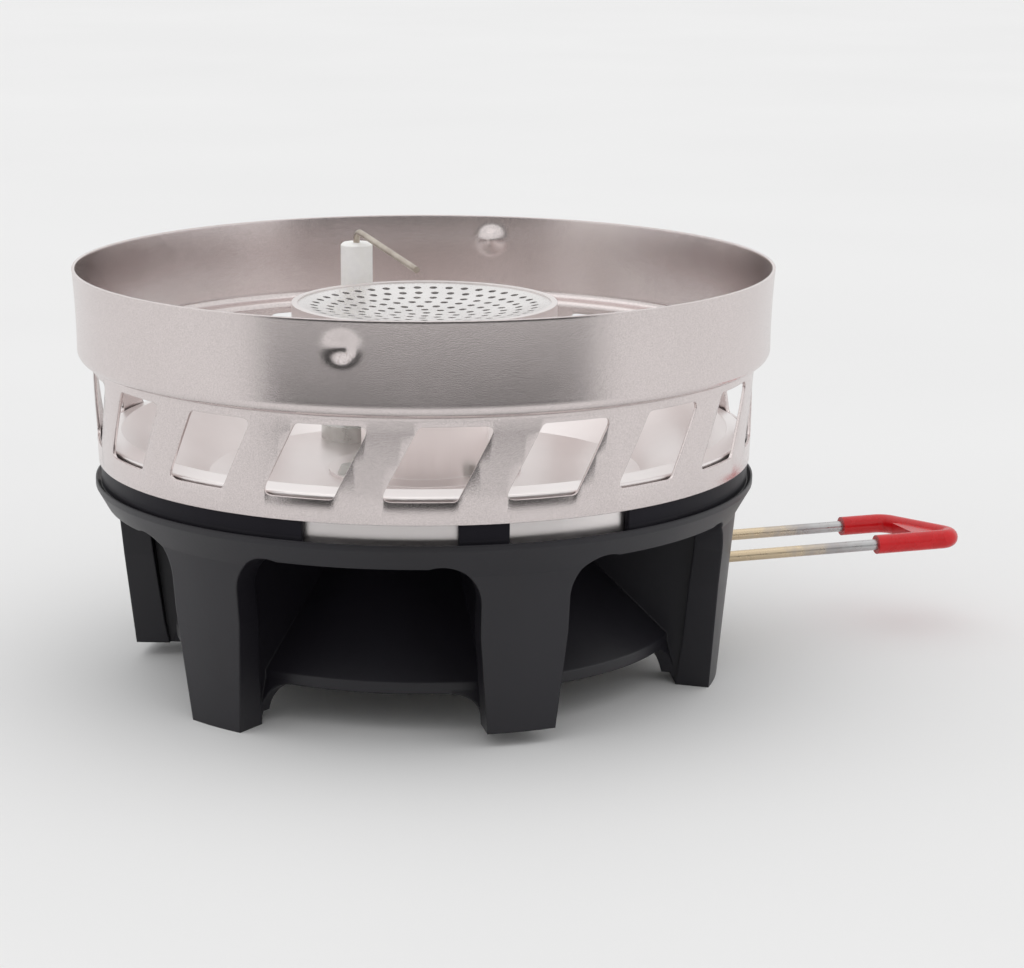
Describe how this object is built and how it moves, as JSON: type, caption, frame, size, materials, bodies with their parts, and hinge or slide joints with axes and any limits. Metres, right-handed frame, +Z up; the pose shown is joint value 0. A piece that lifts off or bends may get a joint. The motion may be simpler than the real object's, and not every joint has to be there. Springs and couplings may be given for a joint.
{
  "type": "canister stove burner",
  "caption": "Camping burner with a steel wind ring, perforated burner head, spark electrode, legged black base and folding wire valve handle.",
  "frame": {"origin": "on the burner's axis, in the plane of the canister thread's mouth", "axes": "+Z up along the burner's axis, +X along the wire valve handle"},
  "size_m": [0.1539, 0.115, 0.07],
  "materials": {
    "steel_brushed": "fine grained stainless pressing",
    "steel_polished": "bright polished stainless",
    "steel_disc": "satin stainless",
    "steel_screw": "zinc plated",
    "steel_wire": "bright drawn wire, heat tinted near the valve",
    "electrode": "heat tinted electrode wire",
    "black_plastic": "satin moulded glass-filled nylon",
    "igniter_plastic": "moulded",
    "button_plastic": "glossy moulded",
    "brass": "turned",
    "seal_rubber": "matt",
    "red_vinyl": "glossy dipped vinyl",
    "white_ceramic": "unglazed",
    "lead_silicone": "silicone insulated lead"
  },
  "bodies": {
    "base": {"wind_ring": "steel_brushed", "burner_pan": "steel_polished", "housing": "black_plastic", "burner_disc": "steel_disc", "burner_cup": "steel_polished", "mixing_tube": "steel_polished", "pan_screws": "steel_screw", "valve_body": "brass", "lock_nut": "brass", "gas_jet": "brass", "canister_connector": "brass", "connector_seal": "seal_rubber", "opening_pin": "brass", "gas_filter": "steel_screw", "gland_nut": "brass", "igniter_body": "igniter_plastic", "igniter_spring": "steel_wire", "igniter_clamp": "black_plastic", "ceramic_insulator": "white_ceramic", "insulator_clamp": "steel_screw", "electrode_wire": "electrode", "ignition_lead": "lead_silicone"},
    "spindle": {"valve_spindle": "brass", "spindle_seal": "seal_rubber"},
    "needle": {"valve_needle": "steel_screw"},
    "handle": {"wire_handle": "steel_wire", "handle_grip": "red_vinyl"},
    "button": {"igniter_button": "button_plastic"}
  },
  "joints": [
    {"name": "valve_turn", "type": "hinge", "parent": "base", "child": "spindle", "pos_m": [0.044, 0, 0.011], "axis": [1, 0, 0], "range_deg": [0, 720]},
    {"name": "needle_lift", "type": "slide", "parent": "base", "child": "needle", "axis": [1, 0, 0], "range_m": [0, 0.0012]},
    {"name": "handle_fold", "type": "hinge", "parent": "spindle", "child": "handle", "pos_m": [0.044, 0, 0.011], "axis": [0, -1, 0], "range_deg": [-85, 48]},
    {"name": "igniter_press", "type": "slide", "parent": "base", "child": "button", "axis": [0.5, -0.866, 0], "range_m": [0, 0.0035], "stiffness_N_per_m": 900, "springref_m": -0.001, "deforming": ["igniter_spring"]}
  ],
  "couplings": [
    {"joint": "needle_lift", "follows": "valve_turn", "m_per_rad": 0.000094}
  ]
}
